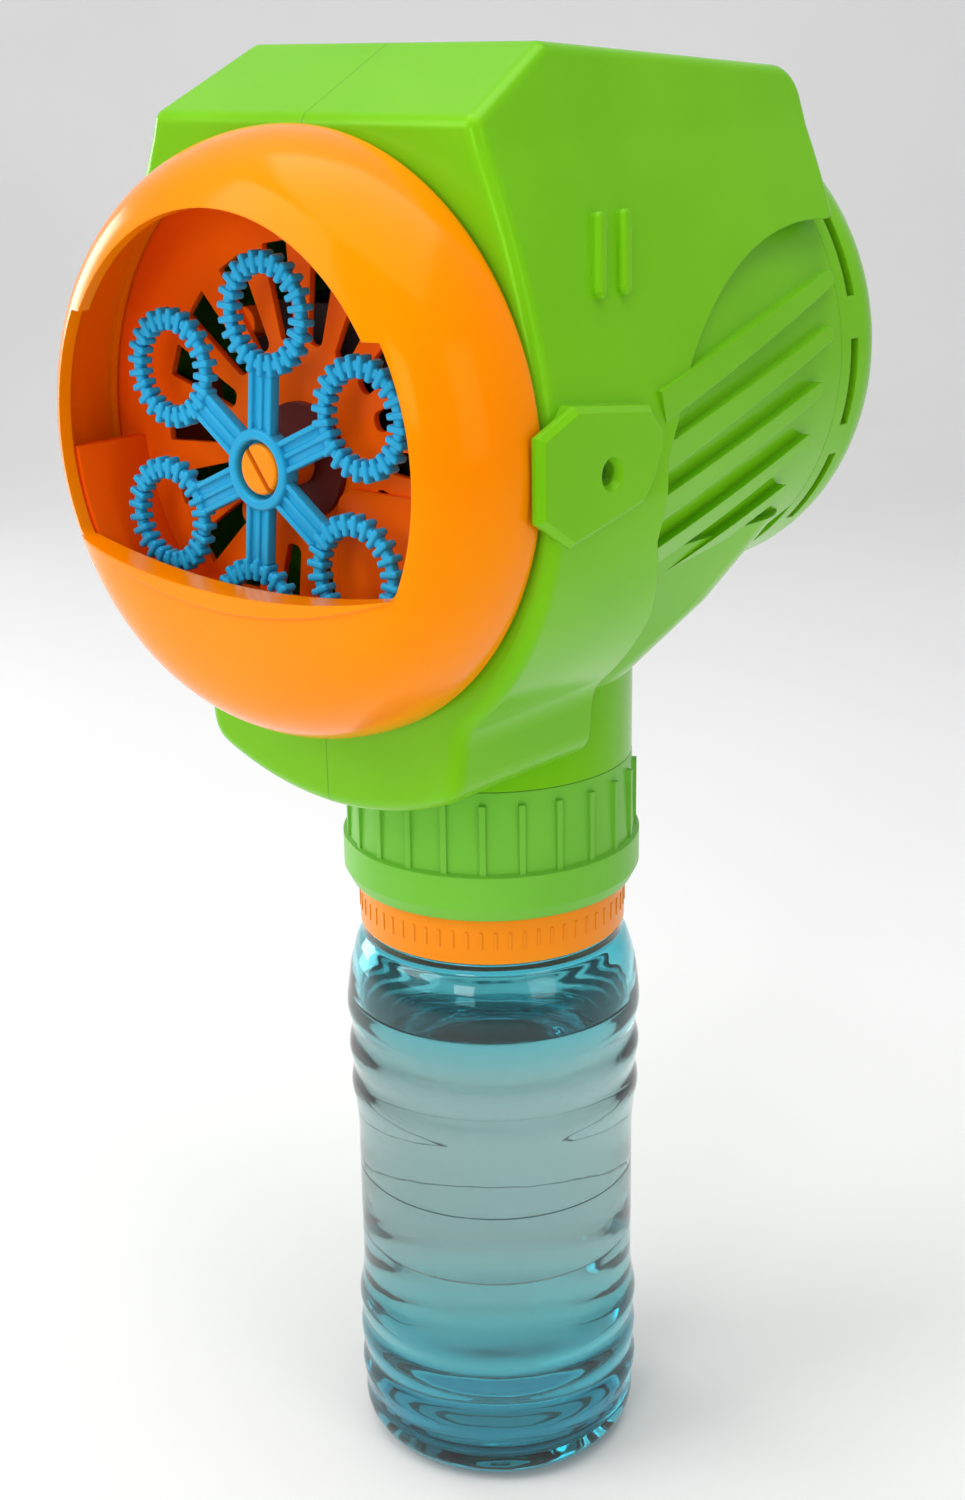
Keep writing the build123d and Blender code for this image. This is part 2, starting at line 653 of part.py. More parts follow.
def gear(teeth, shift, bottom, top, tooth_at):
    """An involute spur gear about Z, with one tooth centred on the angle tooth_at in degrees."""
    pitch_r = MODULE * teeth / 2
    base_r = pitch_r * math.cos(PRESSURE_ANGLE)
    tip_r = pitch_r + MODULE * (ADDENDUM + shift)
    root_r = pitch_r - MODULE * (DEDENDUM - shift)
    thickness = math.pi * MODULE / 2 + 2 * shift * MODULE * math.tan(PRESSURE_ANGLE) - BACKLASH
    at_pitch = thickness / (2 * pitch_r) + involute(PRESSURE_ANGLE)
    start_r = max(base_r, root_r)
    steps = 4
    flank = []
    for step in range(steps + 1):
        radius = start_r + (tip_r - start_r) * step / steps
        angle = at_pitch - involute(math.acos(min(1.0, base_r / radius)))
        flank.append((radius, angle))
    if start_r > root_r:
        flank.insert(0, (root_r, flank[0][1]))
    points = []
    for number in range(teeth):
        middle = math.radians(tooth_at) + 2 * math.pi * number / teeth
        tooth = [(radius, middle - angle) for radius, angle in flank]
        tooth = tooth + [(radius, middle + angle) for radius, angle in reversed(flank)]
        points.extend((radius * math.cos(a), radius * math.sin(a)) for radius, a in tooth)
    blank = make_face(Polyline(*points, close=True))
    return Pos(0, 0, bottom) * extrude(blank, top - bottom)


# The layshaft stands beside the slow shaft, at the gear distance from it and from the motor shaft.
SHAFT_RISE = (DRUM_Z - WHEEL_Z) / 2
LAYSHAFT_X = math.sqrt(GEAR_CENTRES ** 2 - SHAFT_RISE ** 2)
LAYSHAFT_Z = WHEEL_Z + SHAFT_RISE
TO_LAYSHAFT = math.degrees(math.atan2(SHAFT_RISE, LAYSHAFT_X))
BIG_PITCH = 360 / BIG_TEETH


def on_layshaft(shape):
    return Pos(LAYSHAFT_X, 0, 0) * axial(shape, LAYSHAFT_Z)


def small_gear(bottom, top, towards):
    return gear(SMALL_TEETH, TOOTH_SHIFT, bottom, top, towards)


def big_gear(bottom, top, towards):
    """A big gear with a gap, not a tooth, facing its partner."""
    return gear(BIG_TEETH, -TOOTH_SHIFT, bottom, top, towards + BIG_PITCH / 2)


def motor_pinion():
    pinion = small_gear(26.3, 28.6, -TO_LAYSHAFT) - rod(AXLE_R, 20, 30)
    return axial(pinion, DRUM_Z)


def first_gear():
    """Driven by the motor pinion, on the layshaft."""
    body = big_gear(26.4, 28.6, 180 - TO_LAYSHAFT) + small_gear(28.5, 31.0, 180 + TO_LAYSHAFT)
    return on_layshaft(body - rod(AXLE_BORE_R, 20, 40))


def second_gear():
    """On the slow shaft's pin, between the two layshaft gears."""
    body = big_gear(28.8, 31.0, TO_LAYSHAFT) + small_gear(30.9, 33.4, TO_LAYSHAFT)
    return axial(body - rod(AXLE_BORE_R, 20, 40), WHEEL_Z)


def third_gear():
    """On the layshaft, driving the output gear."""
    body = big_gear(31.1, 33.3, 180 + TO_LAYSHAFT) + small_gear(33.2, 36.4, 180 + TO_LAYSHAFT)
    return on_layshaft(body - rod(AXLE_BORE_R, 20, 40))


def output_gear():
    body = big_gear(33.9, 36.2, TO_LAYSHAFT) - rod(2.4, 30, 40)
    return axial(body, WHEEL_Z)


def layshaft():
    return on_layshaft(rod(AXLE_R, 24.1, 38.1))


def slow_shaft_pin():
    return axial(rod(AXLE_R, 24.1, 38.0), WHEEL_Z)


def gearbox_corners():
    """Where the four posts of the gearbox stand, as x and height."""
    return [(-14.0, 191.5), (25.0, 191.5), (-14.0, 222.5), (25.0, 222.5)]


def gearbox_blank(bottom, top):
    centre = (5.5, 207.0 - DOME_Z)
    return axial(plate(46, 38, 4, bottom, top, *centre), DOME_Z)


def gearbox_holes():
    holes = [along_y(1.0, -42, -20, x, z) for x, z in gearbox_corners()]
    holes.append(on_layshaft(rod(AXLE_R, 20, 38.2)))
    return holes


def gearbox_front():
    """The plate behind the grille, with posts that carry the rear plate."""
    posts = [along_y(2.6, -36.7, -25.8, x, z) for x, z in gearbox_corners()]
    body = gearbox_blank(36.6, 38.2) + posts
    return body - gearbox_holes() - axial(rod(4.0, 30, 40), WHEEL_Z)


def gearbox_rear():
    """The plate that carries the motor, with a cradle round it."""
    cradle = [block((x, x + 1.5), (-24.1, -8), (DRUM_Z - 6.5, DRUM_Z + 6.5)) for x in (-11.6, 10.1)]
    body = gearbox_blank(24.0, 25.8) + cradle
    body = body - gearbox_holes() - axial(rod(3.0, 20, 30), DRUM_Z)
    return body - axial(rod(AXLE_R, 20, 30), WHEEL_Z)


def gearbox_screws():
    places = gearbox_corners()
    drawn = Rot(-90, 0, 0) * screw(1.0, 11.0, 1.9, 1.2)
    return group(*[Pos(x, -24.0, z) * drawn for x, z in places])


# --- motor and fan --------------------------------------------------------------------------
def motor_section(inset):
    return Circle(10.0 - inset) & Rectangle(30, 2 * (7.5 - inset))


def motor_can():
    outer = Pos(0, 0, 3.0) * extrude(motor_section(0), 21.0)
    inner = Pos(0, 0, 2.0) * extrude(motor_section(0.9), 21.0)
    body = outer - inner + rod(3.0, 23.9, 25.6) - rod(AXLE_BORE_R, 20, 30)
    return axial(body, DRUM_Z)


def motor_end_cap():
    body = Pos(0, 0, -0.6) * extrude(motor_section(0), 3.6)
    body = body + rod(2.6, -1.6, 0) - rod(AXLE_BORE_R, -5, 10)
    return axial(body, DRUM_Z)


def motor_armature():
    body = rod(5.6, 6.0, 20.0)
    for number in range(3):
        body = body - Rot(0, 0, 120 * number) * block((3.2, 7), (-0.7, 0.7), (5, 21))
    return axial(body - rod(AXLE_R, 0, 30), DRUM_Z)


def motor_shaft():
    return axial(rod(AXLE_R, -12.0, 28.7), DRUM_Z)


def fan_impeller():
    """Seven pitched blades on a round hub that is pressed on the motor's rear shaft."""
    body = rod(7.0, -11.0, -3.2)
    blade = Pos(18.5, 0, -7.0) * (Rot(38, 0, 0) * Box(25.0, 11.0, 1.2))
    body = body + [Rot(0, 0, 360 / 7 * number) * blade for number in range(7)]
    return axial(body - rod(AXLE_R, -20, 0), DRUM_Z)


def fan_shroud():
    """The ring round the fan, held in the drum by three ears."""
    body = ring(34.0, 32.6, -14.0, -1.0)
    for angle in (0, 90, 180, 270):
        ear = block((33.3, 41.0), (-5, 5), (-14.0, -12.4))
        body = body + Rot(0, 0, angle) * ear
    return axial(body, DRUM_Z)


# --- neck, collar and feed ------------------------------------------------------------------
def collar_ring():
    """The union collar that draws the bottle up: grip ribs above, a flange band below."""
    low, high = COLLAR_Z
    outside = spun(
        Line((0, low), (FLANGE_R - 1.2, low)),
        Line((FLANGE_R - 1.2, low), (FLANGE_R, low + 2.4)),
        Line((FLANGE_R, low + 2.4), (FLANGE_R, FLANGE_TOP_Z)),
        Line((FLANGE_R, FLANGE_TOP_Z), (COLLAR_R + 0.5, FLANGE_TOP_Z + 0.4)),
        Line((COLLAR_R + 0.5, FLANGE_TOP_Z + 0.4), (COLLAR_R, high)),
        Line((COLLAR_R, high), (0, high)),
        Line((0, high), (0, low)),
    )
    rib = block((25.4, 26.9), (-0.6, 0.6), (FLANGE_TOP_Z - 0.5, high - 2.2))
    ribs = [Rot(0, 0, 360 / COLLAR_RIBS * (number + 0.5)) * rib for number in range(COLLAR_RIBS)]
    body = outside + ribs
    return body - rod(COLLAR_BORE_R, low - 1, 136.8) - rod(COLLAR_LIP_R, 130, high + 1)


def neck_plate():
    """The plate in the casing's neck with the feed snout below it and the hose barb above."""
    disc = rod(SPIGOT_R - WALL, SPIGOT_Z, SPIGOT_Z + 2.0)
    snout = rod(SPOUT_R, 123.0, SPIGOT_Z + 0.1)
    barb = rod(1.6, SPIGOT_Z + 1.9, 141.0)
    return disc + snout + barb - rod(1.0, 120, 145)


def feed_tube():
    """Soft tube from the hose barb up and forward to the dish's spout."""
    route = FilletPolyline((0, -34.6, FEED_Z), (0, -17, FEED_Z), (0, 0, 160), (0, 0, 132.4), radius=7.0)
    section = Plane(origin=route @ 0, z_dir=route % 0)
    tube = sweep(section * Circle(2.7), path=route)
    bore = sweep(section * Circle(1.6), path=route)
    return tube - bore


def neck_seal():
    return ring(19.5, 12.0, ADAPTER_Z[1], SPIGOT_Z)


def bottle_adapter():
    """The screw adapter that stays on the bottle's neck, open in the middle for the feed snout."""
    low, high = ADAPTER_Z
    body = rod(ADAPTER_R, low, high)
    grip = block((ADAPTER_R - 0.3, ADAPTER_R + 0.15), (-0.25, 0.25), (112.2, 115.4))
    body = body + [Rot(0, 0, 6 * number) * grip for number in range(60)]
    body = body - rod(NECK_R + 0.1, low - 1, MOUTH_Z + 0.1) - rod(SPOUT_R + 0.5, 100, 140)
    return fillet(body.edges().filter_by(GeomType.CIRCLE).sort_by(Axis.Z)[0:1], 0.2)


# --- bottle ---------------------------------------------------------------------------------
def ribbed_side():
    """The bottle's outer line from its foot to its shoulder: three ribs, a label band, three ribs."""
    points = [(FOOT_R + 4.7, 6.0)]
    for rib in LOWER_RIBS:
        points.append((27.0, rib - 3.7))
        points.append((27.6, rib))
    points.append((27.0, LOWER_RIBS[-1] + 3.6))
    points.append((LABEL_R, LABEL_Z[0]))
    label = [(LABEL_R, LABEL_Z[1])]
    above = []
    for rib, radius in zip(UPPER_RIBS, (27.7, 27.9, BOTTLE_R)):
        above.append((27.1, rib - 4.0))
        above.append((radius, rib))
    shoulder = [(27.7, SHOULDER_Z), (27.0, 100.5), (25.6, 105.0)]
    return points, label + above + shoulder


def bottle():
    lower, upper = ribbed_side()
    foot = (FOOT_R, 0)
    outer = spun(
        Line((0, 3.0), (16, 1.6)),
        Line((16, 1.6), (18.5, 0)),
        Line((18.5, 0), foot),
        ThreePointArc(foot, (26.0, 2.0), lower[0]),
        Spline(*lower),
        Line(lower[-1], upper[0]),
        Spline(*upper),
        Line(upper[-1], (NECK_BEAD_R, 107.0)),
        Line((NECK_BEAD_R, 107.0), (NECK_BEAD_R, NECK_Z)),
        Line((NECK_BEAD_R, NECK_Z), (NECK_R, NECK_Z)),
        Line((NECK_R, NECK_Z), (NECK_R, MOUTH_Z)),
        Line((NECK_R, MOUTH_Z), (0, MOUTH_Z)),
        Line((0, MOUTH_Z), (0, 3.0)),
    )
    return outer - bottle_inside(MOUTH_Z + 1)


def bottle_inside(top):
    """The bottle's inside up to a level below the shoulder, or right through the neck."""
    floor = 4.4
    start = (BOTTLE_BORE_R, 9.5)
    edges = [Line((0, floor), (20.5, floor - 1.0)), ThreePointArc((20.5, floor - 1.0), (24.2, 5.4), start)]
    if top <= SHOULDER_Z:
        edges += [Line(start, (BOTTLE_BORE_R, top)), Line((BOTTLE_BORE_R, top), (0, top))]
    else:
        throat = (NECK_BORE_R, 108.0)
        edges += [
            Line(start, (BOTTLE_BORE_R, 99.0)),
            ThreePointArc((BOTTLE_BORE_R, 99.0), (23.4, 105.0), throat),
            Line(throat, (NECK_BORE_R, top)),
            Line((NECK_BORE_R, top), (0, top)),
        ]
    edges.append(Line((0, top), (0, floor)))
    return spun(*edges)


def side_screws():
    drawn = Location((SCREW_SEAT_X, *SIDE_SCREW), (0, 90, 0)) * screw(1.15, 7.0, 1.75, 1.3)
    return group(drawn, mirror(drawn, Plane.YZ))


def cover_screws():
    drawn = Rot(-90, 0, 0) * screw(1.1, 14.0, 2.4, 1.5)
    return group(*[Pos(x, 50.0, z) * drawn for x, z in cover_boss_places()])


NODES = {
    "casing_right": lambda: casing_half(1),
    "casing_left": lambda: casing_half(-1),
    "rear_cover": rear_cover,
    "battery_door": battery_door,
    "battery_door_screw": door_screw,
    "battery_box": battery_box,
    "battery_left": lambda: cell(0),
    "battery_middle": lambda: cell(1),
    "battery_right": lambda: cell(2),
    "battery_contacts": contacts,
    "power_button": power_button,
    "switch_body": switch_body,
    "switch_plunger": switch_plunger,
    "switch_bracket": switch_bracket,
    "front_bezel": front_bezel,
    "chamber_back": chamber_back,
    "bubble_tray": bubble_tray,
    "wand_wheel": wand_wheel,
    "wheel_spindle": wheel_spindle,
    "spindle_bush": spindle_bush,
    "output_gear": output_gear,
    "third_gear": third_gear,
    "second_gear": second_gear,
    "first_gear": first_gear,
    "motor_pinion": motor_pinion,
    "layshaft": layshaft,
    "slow_shaft_pin": slow_shaft_pin,
    "gearbox_front": gearbox_front,
    "gearbox_rear": gearbox_rear,
    "gearbox_screws": gearbox_screws,
    "motor_can": motor_can,
    "motor_end_cap": motor_end_cap,
    "motor_armature": motor_armature,
    "motor_shaft": motor_shaft,
    "fan_impeller": fan_impeller,
    "fan_shroud": fan_shroud,
    "collar_ring": collar_ring,
    "neck_plate": neck_plate,
    "feed_tube": feed_tube,
    "neck_seal": neck_seal,
    "bottle_adapter": bottle_adapter,
    "bottle": bottle,
    "bubble_solution": lambda: bottle_inside(LIQUID_Z),
    "side_screws": side_screws,
    "cover_screws": cover_screws,
}

os.makedirs("parts", exist_ok=True)
for node, make in NODES.items():
    export_step(make(), f"parts/{node}.step")
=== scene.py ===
import bmesh
import bpy
import math
from mathutils import Matrix, Vector


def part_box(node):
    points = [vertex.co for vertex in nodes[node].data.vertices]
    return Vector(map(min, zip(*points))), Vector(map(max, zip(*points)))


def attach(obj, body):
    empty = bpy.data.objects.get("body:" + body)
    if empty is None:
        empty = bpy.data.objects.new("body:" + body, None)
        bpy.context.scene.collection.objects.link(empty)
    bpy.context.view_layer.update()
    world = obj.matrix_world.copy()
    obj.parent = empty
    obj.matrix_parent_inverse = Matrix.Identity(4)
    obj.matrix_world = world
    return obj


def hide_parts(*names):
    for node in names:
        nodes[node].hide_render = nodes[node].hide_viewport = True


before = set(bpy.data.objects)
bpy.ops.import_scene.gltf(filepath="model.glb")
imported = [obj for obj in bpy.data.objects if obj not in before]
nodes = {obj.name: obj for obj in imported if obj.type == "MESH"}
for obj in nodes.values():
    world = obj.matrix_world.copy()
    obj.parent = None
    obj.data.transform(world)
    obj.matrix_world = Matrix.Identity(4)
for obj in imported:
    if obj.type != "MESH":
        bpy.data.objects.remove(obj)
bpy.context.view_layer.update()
MM = 0.001

# ------------------------------------------------------------------ camera
YAW = math.radians(41.0563)
PITCH = math.radians(18.7542)
ROLL = math.radians(-0.8937)
AIM = Vector((0, 0, 0.14125))    # point of the bottle's axis that the camera's place is measured from
SIDE_STEP = -0.0014              # how far the camera stands to the right of it
DISTANCE = 0.3867                # how far the camera stands back from it
SENSOR = 36                      # sensor width and focal length in millimetres
LENS = 50.4
back = Vector((math.sin(YAW) * math.cos(PITCH), -math.cos(YAW) * math.cos(PITCH), math.sin(PITCH)))
right = Vector((math.cos(YAW), math.sin(YAW), 0))
up = back.cross(right)
x_axis = right * math.cos(ROLL) + up * math.sin(ROLL)
y_axis = up * math.cos(ROLL) - right * math.sin(ROLL)
place = AIM + right * SIDE_STEP + back * DISTANCE
camera_data = bpy.data.cameras.new("camera")
camera_data.sensor_width = SENSOR
camera_data.sensor_fit = "AUTO"
camera_data.lens = LENS
camera_data.clip_start = 0.01
camera = bpy.data.objects.new("camera", camera_data)
bpy.context.scene.collection.objects.link(camera)
camera.matrix_world = Matrix((
    (x_axis.x, y_axis.x, back.x, place.x),
    (x_axis.y, y_axis.y, back.y, place.y),
    (x_axis.z, y_axis.z, back.z, place.z),
    (0, 0, 0, 1),
))
bpy.context.scene.camera = camera


# ------------------------------------------------------------------ materials
SKIN_DEPTH = 0.00006      # relief of a moulded skin
MOULDED_EDGE = 0.0004     # radius that rounds the moulding's corners
WAVE_DEPTH = 0.0006       # relief of blown plastic and of liquid


def material(name):
    """A new material with its node tree and shader."""
    mat = bpy.data.materials.new(name)
    mat.use_nodes = True
    tree = mat.node_tree
    shader = tree.nodes["Principled BSDF"]
    return mat, tree, shader


def noise(tree, scale, detail=3.0, stretch=(1, 1, 1)):
    """Noise in object space; stretch squeezes it along an axis."""
    coords = tree.nodes.new("ShaderNodeTexCoord")
    mapping = tree.nodes.new("ShaderNodeMapping")
    mapping.inputs["Scale"].default_value = stretch
    tree.links.new(coords.outputs["Object"], mapping.inputs["Vector"])
    node = tree.nodes.new("ShaderNodeTexNoise")
    node.inputs["Scale"].default_value = scale
    node.inputs["Detail"].default_value = detail
    tree.links.new(mapping.outputs["Vector"], node.inputs["Vector"])
    return node


def ramp(tree, source, low, high, start=0.35, end=0.65):
    """Colour from low to high as source goes from start to end."""
    node = tree.nodes.new("ShaderNodeValToRGB")
    node.color_ramp.elements[0].position = start
    node.color_ramp.elements[1].position = end
    node.color_ramp.elements[0].color = (*low, 1)
    node.color_ramp.elements[1].color = (*high, 1)
    tree.links.new(source, node.inputs["Fac"])
    return node


def spread(tree, source, low, high):
    """Number from low to high as source goes from 0 to 1."""
    node = tree.nodes.new("ShaderNodeMapRange")
    node.inputs["To Min"].default_value = low
    node.inputs["To Max"].default_value = high
    tree.links.new(source, node.inputs["Value"])
    return node


def bump(tree, shader, source, strength, distance, edge=0.0):
    """Surface relief; edge rounds the sharp corners of the moulding by that radius."""
    node = tree.nodes.new("ShaderNodeBump")
    node.inputs["Strength"].default_value = strength
    node.inputs["Distance"].default_value = distance
    tree.links.new(source, node.inputs["Height"])
    tree.links.new(node.outputs["Normal"], shader.inputs["Normal"])
    if edge:
        bevel = tree.nodes.new("ShaderNodeBevel")
        bevel.samples = 6
        bevel.inputs["Radius"].default_value = edge
        tree.links.new(bevel.outputs["Normal"], node.inputs["Normal"])


def plastic(name, dark, light, rough=(0.2, 0.3), grain=900, strength=0.05, coat=0.06, glow=0.0):
    """Moulded plastic: a slight drift of colour, uneven gloss, and the fine ripple of a moulded skin."""
    mat, tree, shader = material(name)
    drift = noise(tree, 28, 2)
    tint = ramp(tree, drift.outputs["Fac"], dark, light)
    tree.links.new(tint.outputs["Color"], shader.inputs["Base Color"])
    smear = noise(tree, 160, 4)
    tree.links.new(spread(tree, smear.outputs["Fac"], *rough).outputs["Result"], shader.inputs["Roughness"])
    bump(tree, shader, noise(tree, grain, 3).outputs["Fac"], strength, SKIN_DEPTH, MOULDED_EDGE)
    shader.inputs["IOR"].default_value = 1.49
    shader.inputs["Specular Tint"].default_value = (*[c / max(light) for c in light], 1)
    shader.inputs["Coat Weight"].default_value = coat
    shader.inputs["Coat Roughness"].default_value = 0.12
    if glow:
        shader.inputs["Subsurface Weight"].default_value = glow
        shader.inputs["Subsurface Radius"].default_value = (0.004, 0.003, 0.001)
        shader.inputs["Subsurface Scale"].default_value = 1.0
    return mat


def pebbled(name, dark, light, cell=0.0009):
    """Moulded plastic with a raised leather-like pebble; the grooves between pebbles are painted darker as
    shade.
    """
    mat, tree, shader = material(name)
    coords = tree.nodes.new("ShaderNodeTexCoord")
    cells = tree.nodes.new("ShaderNodeTexVoronoi")
    cells.inputs["Scale"].default_value = 1 / cell
    tree.links.new(coords.outputs["Object"], cells.inputs["Vector"])
    # painted shade: light in each pebble's middle, darker into the grooves between pebbles
    tint = ramp(tree, cells.outputs["Distance"], light, dark, 0.2, 0.8)
    tree.links.new(tint.outputs["Color"], shader.inputs["Base Color"])
    bump(tree, shader, cells.outputs["Distance"], -0.6, 0.0003)
    shader.inputs["Roughness"].default_value = 0.42
    return mat


def metal(name, dark, light, rough=(0.2, 0.35), stretch=(1, 1, 30), scale=300):
    """Metal with a grain, which stretch draws out along an axis."""
    mat, tree, shader = material(name)
    grain = noise(tree, scale, 4, stretch)
    tint = ramp(tree, grain.outputs["Fac"], dark, light)
    tree.links.new(tint.outputs["Color"], shader.inputs["Base Color"])
    tree.links.new(spread(tree, grain.outputs["Fac"], *rough).outputs["Result"], shader.inputs["Roughness"])
    bump(tree, shader, grain.outputs["Fac"], 0.1, 0.00003)
    shader.inputs["Metallic"].default_value = 1.0
    return mat


def clear(name, bands, rough, ior, ripple, wave_scale, absorbed=None, density=0.0):
    """Clear tinted plastic or liquid, slightly wavy. bands lists (height in metres, colour), foot first; the
    colour changing with height is painted light, such as a glow at the foot.
    """
    mat, tree, shader = material(name)
    height = tree.nodes.new("ShaderNodeSeparateXYZ")
    coords = tree.nodes.new("ShaderNodeTexCoord")
    tree.links.new(coords.outputs["Object"], height.inputs["Vector"])
    top = bands[-1][0]
    share = tree.nodes.new("ShaderNodeMapRange")
    share.inputs["From Max"].default_value = top
    tree.links.new(height.outputs["Z"], share.inputs["Value"])
    # painted light: the base colour follows the height bands
    tint = tree.nodes.new("ShaderNodeValToRGB")
    stops = tint.color_ramp.elements
    while len(stops) < len(bands):
        stops.new(0.5)
    for stop, (level, colour) in zip(stops, bands):
        stop.position = level / top
        stop.color = (*colour, 1)
    tree.links.new(share.outputs["Result"], tint.inputs["Fac"])
    tree.links.new(tint.outputs["Color"], shader.inputs["Base Color"])
    drift = noise(tree, 22, 2, (1, 1, 2.5))
    gloss = spread(tree, drift.outputs["Fac"], rough, rough + 0.02)
    tree.links.new(gloss.outputs["Result"], shader.inputs["Roughness"])
    bump(tree, shader, noise(tree, wave_scale, 2, (1, 1, 2.2)).outputs["Fac"], ripple, WAVE_DEPTH)
    shader.inputs["IOR"].default_value = ior
    shader.inputs["Transmission Weight"].default_value = 1.0
    if density:
        volume = tree.nodes.new("ShaderNodeVolumeAbsorption")
        volume.inputs["Color"].default_value = (*absorbed, 1)
        volume.inputs["Density"].default_value = density
        tree.links.new(volume.outputs["Volume"], tree.nodes["Material Output"].inputs["Volume"])
    return mat


green = plastic("green_shell", (0.155, 0.49, 0.005), (0.18, 0.53, 0.008), (0.20, 0.28), glow=0.06)
green_collar = plastic("green_collar", (0.15, 0.47, 0.04), (0.18, 0.52, 0.05), (0.3, 0.4), strength=0.12)
pad = pebbled("green_pebble", (0.20, 0.50, 0.03), (0.30, 0.62, 0.06))
orange = plastic("orange_nose", (1.0, 0.255, 0.0), (1.0, 0.28, 0.0), (0.15, 0.22), glow=0.05)
# The chamber is the nose's orange plastic; this darker, redder copy paints the shade inside the chamber and
# the orange light bounced between its walls.
shaded_orange = plastic("orange_chamber_shade", (0.98, 0.12, 0.002), (1.0, 0.15, 0.003), (0.3, 0.42), strength=0.1)
pin_orange = plastic("orange_spindle", (0.96, 0.26, 0.008), (1.0, 0.31, 0.012))
blue = plastic("blue_wand", (0.018, 0.33, 0.60), (0.028, 0.39, 0.68), (0.25, 0.36), grain=1500,
               strength=0.08)
# The bush's dark brown is painted shade with a painted orange reflection, not the part's own colour.
painted_shade_disc = plastic("brown_disc", (0.10, 0.018, 0.016), (0.13, 0.025, 0.022), (0.35, 0.5))
# Near black for the inside parts. Where the fan and its shroud show through the grille slots, this black
# also paints the shade inside the body.
black = plastic("black_inside", (0.012, 0.010, 0.010), (0.022, 0.018, 0.018), (0.45, 0.6), coat=0.0)
nylon = plastic("nylon_gear", (0.74, 0.71, 0.62), (0.82, 0.80, 0.72), (0.4, 0.5), coat=0.0)
sleeve = plastic("cell_sleeve", (0.05, 0.055, 0.07), (0.07, 0.075, 0.09), (0.2, 0.3))
rubber = plastic("soft_rubber", (0.66, 0.66, 0.62), (0.74, 0.74, 0.70), (0.55, 0.7), coat=0.0)
ring_orange = plastic("orange_adapter", (0.90, 0.26, 0.010), (0.96, 0.30, 0.014), (0.25, 0.35), glow=0.15)
steel = metal("steel", (0.46, 0.47, 0.48), (0.62, 0.63, 0.64))
bright = metal("bright_screw", (0.60, 0.60, 0.58), (0.75, 0.75, 0.73), (0.15, 0.3), (1, 1, 1), 500)
brass = metal("brass", (0.60, 0.42, 0.14), (0.75, 0.55, 0.22))
copper = metal("winding", (0.45, 0.16, 0.05), (0.60, 0.24, 0.09), (0.3, 0.45), (1, 12, 1), 500)
CLEAR_GREY = (0.66, 0.73, 0.73)
SHOULDER_SHEEN_CYAN = (0.26, 0.78, 0.86)
# Bottle wall colours by height, foot first: cyan at the foot paints the glow of light coming through the
# foot, cyan at the shoulder paints a sheen, and grey lies between.
WALL_LIGHT_BANDS = [
    (0.0, (0.20, 0.80, 0.95)), (0.012, (0.40, 0.88, 0.96)), (0.032, CLEAR_GREY), (0.086, CLEAR_GREY),
    (0.098, SHOULDER_SHEEN_CYAN), (0.109, SHOULDER_SHEEN_CYAN), (0.13, CLEAR_GREY),
]
# Solution colours by height, foot first: cyan at the foot paints the glow of light coming through the foot,
# and cyan at the top paints the bright surface; near white between, where the solution's own colour comes
# from its absorption.
LIQUID_LIGHT_BANDS = [
    (0.0, (0.15, 0.85, 0.95)), (0.010, (0.30, 0.90, 0.95)), (0.030, (0.90, 0.95, 0.95)),
    (0.080, (0.92, 0.96, 0.96)), (0.095, (0.45, 0.88, 0.95)),
]
bottle_clear = clear("bottle_clear", WALL_LIGHT_BANDS, rough=0.015, ior=1.45, ripple=0.25, wave_scale=70)
solution = clear("solution", LIQUID_LIGHT_BANDS, rough=0.0, ior=1.36, ripple=0.0, wave_scale=40,
                 absorbed=(0.15, 0.62, 0.60), density=11.0)

LOOK = {
    "casing_right": green, "casing_left": green, "rear_cover": green, "battery_door": green,
    "switch_bracket": green, "neck_plate": green, "power_button": pad, "collar_ring": green_collar,
    "front_bezel": orange, "chamber_back": shaded_orange, "bubble_tray": shaded_orange,
    "wand_wheel": blue, "wheel_spindle": pin_orange, "spindle_bush": painted_shade_disc, "bottle_adapter": ring_orange,
    "bottle": bottle_clear, "bubble_solution": solution,
    "battery_box": black, "switch_body": black, "gearbox_front": black, "gearbox_rear": black,
    "fan_impeller": black, "fan_shroud": black,
    "output_gear": nylon, "third_gear": nylon, "second_gear": nylon, "first_gear": nylon,
    "switch_plunger": nylon, "motor_end_cap": nylon,
    "battery_left": sleeve, "battery_middle": sleeve, "battery_right": sleeve,
    "feed_tube": rubber, "neck_seal": rubber,
    "layshaft": steel, "slow_shaft_pin": steel, "motor_can": steel, "motor_shaft": steel,
    "side_screws": steel, "battery_contacts": bright, "gearbox_screws": bright, "cover_screws": bright,
    "battery_door_screw": bright, "motor_pinion": brass, "motor_armature": copper,
}
for name, look in LOOK.items():
    data = nodes[name].data
    data.materials.clear()
    data.materials.append(look)


# ------------------------------------------------------------------ pieces
def new_piece(name, bm, look, body, node):
    """Turns a bmesh made in millimetres into a piece that stands in for a CAD node."""
    bmesh.ops.recalc_face_normals(bm, faces=bm.faces)
    bm.transform(Matrix.Scale(MM, 4))
    mesh = bpy.data.meshes.new(name)
    for face in bm.faces:
        face.smooth = True
    bm.to_mesh(mesh)
    bm.free()
    piece = bpy.data.objects.new(name, mesh)
    bpy.context.scene.collection.objects.link(piece)
    mesh.materials.append(look)
    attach(piece, body)
    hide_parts(node)


